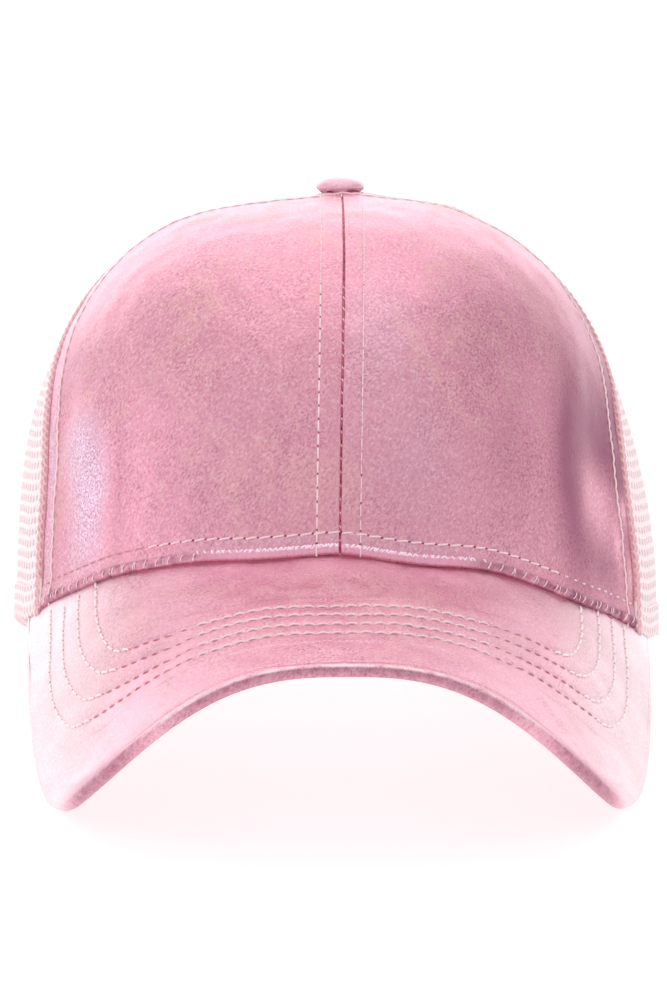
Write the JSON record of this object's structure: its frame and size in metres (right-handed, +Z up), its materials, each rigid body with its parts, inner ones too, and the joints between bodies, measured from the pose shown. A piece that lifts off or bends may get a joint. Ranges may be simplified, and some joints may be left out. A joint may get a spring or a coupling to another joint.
{
  "type": "trucker cap",
  "caption": "Trucker cap with coated-leather front panels and curved peak, net back panels, covered top button and an arched back opening with a strap.",
  "frame": {"origin": "middle of the cap's box, on the surface that it stands on", "axes": "+Z up, -Y the way the wearer and the peak face, +X the wearer's left"},
  "size_m": [0.1751, 0.2584, 0.1386],
  "materials": {
    "coated_leather": "metallic pink satin coating, rubbed in places",
    "netting": "matt knitted netting",
    "cotton_tape": "matt woven tape",
    "strap_plastic": "satin moulded"
  },
  "bodies": {
    "root": {"front_panel_left": "coated_leather", "front_panel_right": "coated_leather", "net_side_left": "netting", "net_side_right": "netting", "net_back_left": "netting", "net_back_right": "netting", "peak": "coated_leather", "sweatband": "cotton_tape", "arch_binding": "cotton_tape", "back_strap": "strap_plastic", "top_button": "coated_leather"}
  },
  "joints": []
}
